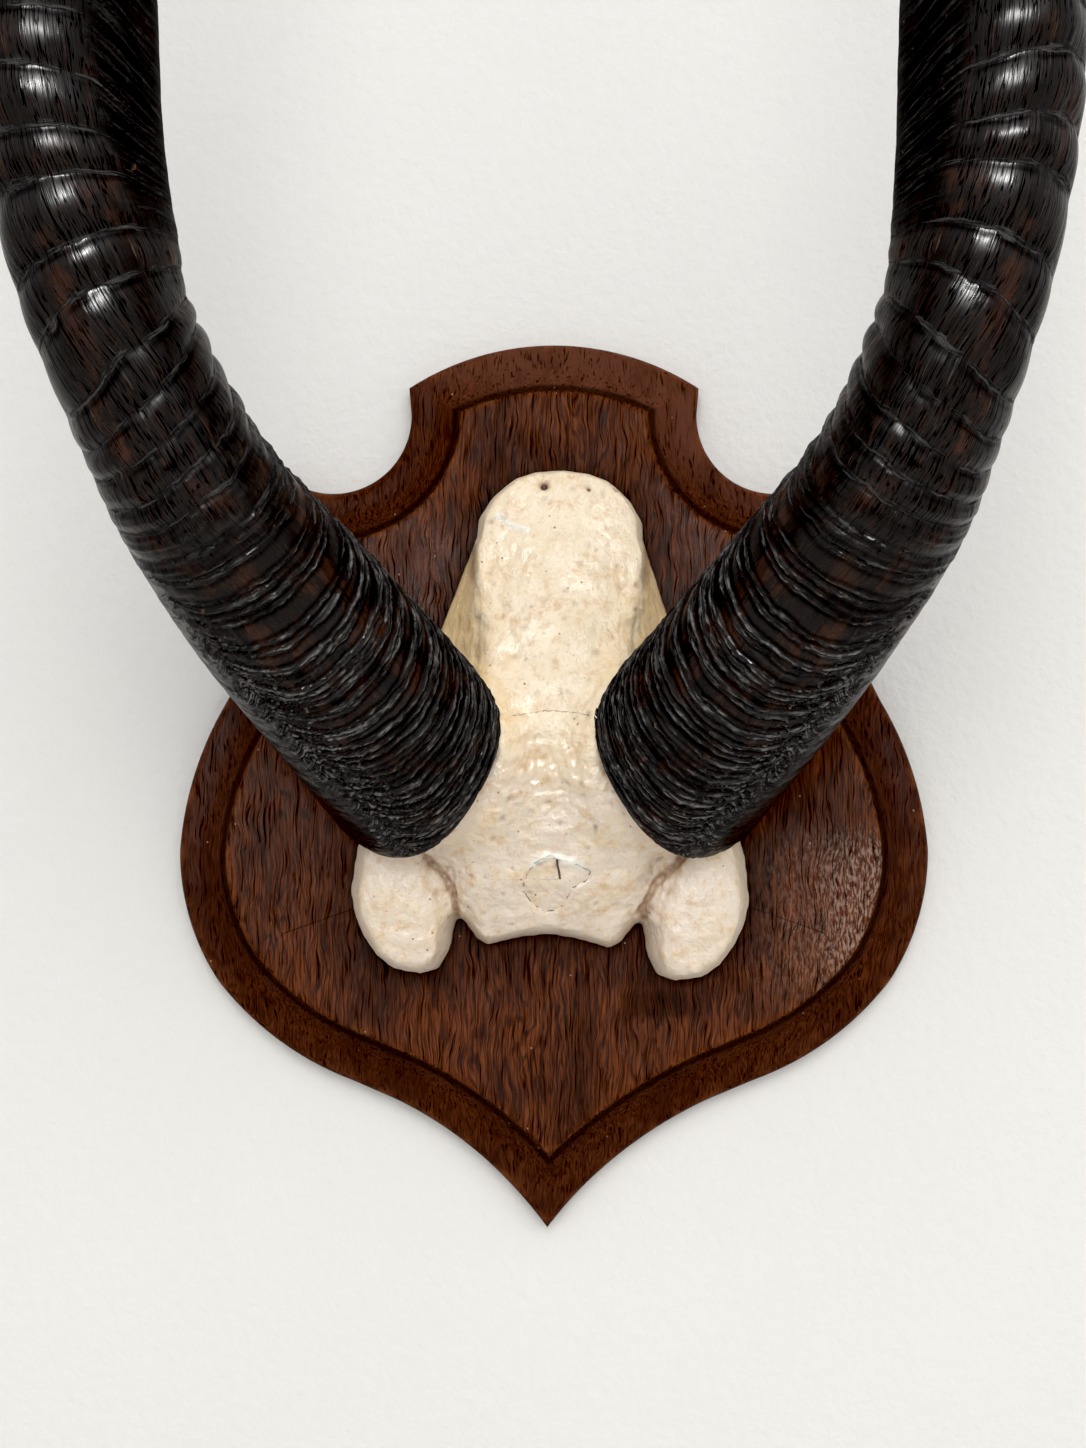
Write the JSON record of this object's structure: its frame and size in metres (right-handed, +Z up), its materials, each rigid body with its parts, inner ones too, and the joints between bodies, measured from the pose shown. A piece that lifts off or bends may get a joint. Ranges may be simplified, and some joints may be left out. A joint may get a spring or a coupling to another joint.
{
  "type": "waterbuck trophy mount",
  "caption": "Ringed waterbuck horns on a sawn skull cap, screwed to a dark moulded oak shield that hangs flat on a wall.",
  "frame": {"origin": "the middle of the shield's flat back face, halfway up the shield and on its middle line", "axes": "+X to the right of someone facing the mount, +Y square into the wall, +Z up the wall, along the long way of the mount"},
  "size_m": [0.34, 0.3335, 0.7615],
  "materials": {
    "oak": "dark reddish-brown stain, open grain, worn satin varnish",
    "bone": "boiled and bleached bone, smooth with pits and a soft sheen",
    "keratin": "near-black horn, polished swells between rough growth rings",
    "steel": "dulled zinc-plated steel"
  },
  "bodies": {
    "root": {"shield": "oak", "skull_cap": "bone", "horn_left": "keratin", "horn_right": "keratin", "hanger": "steel", "hanger_screw_left": "steel", "hanger_screw_right": "steel", "skull_screw_upper": "steel", "skull_screw_lower": "steel"}
  },
  "joints": []
}
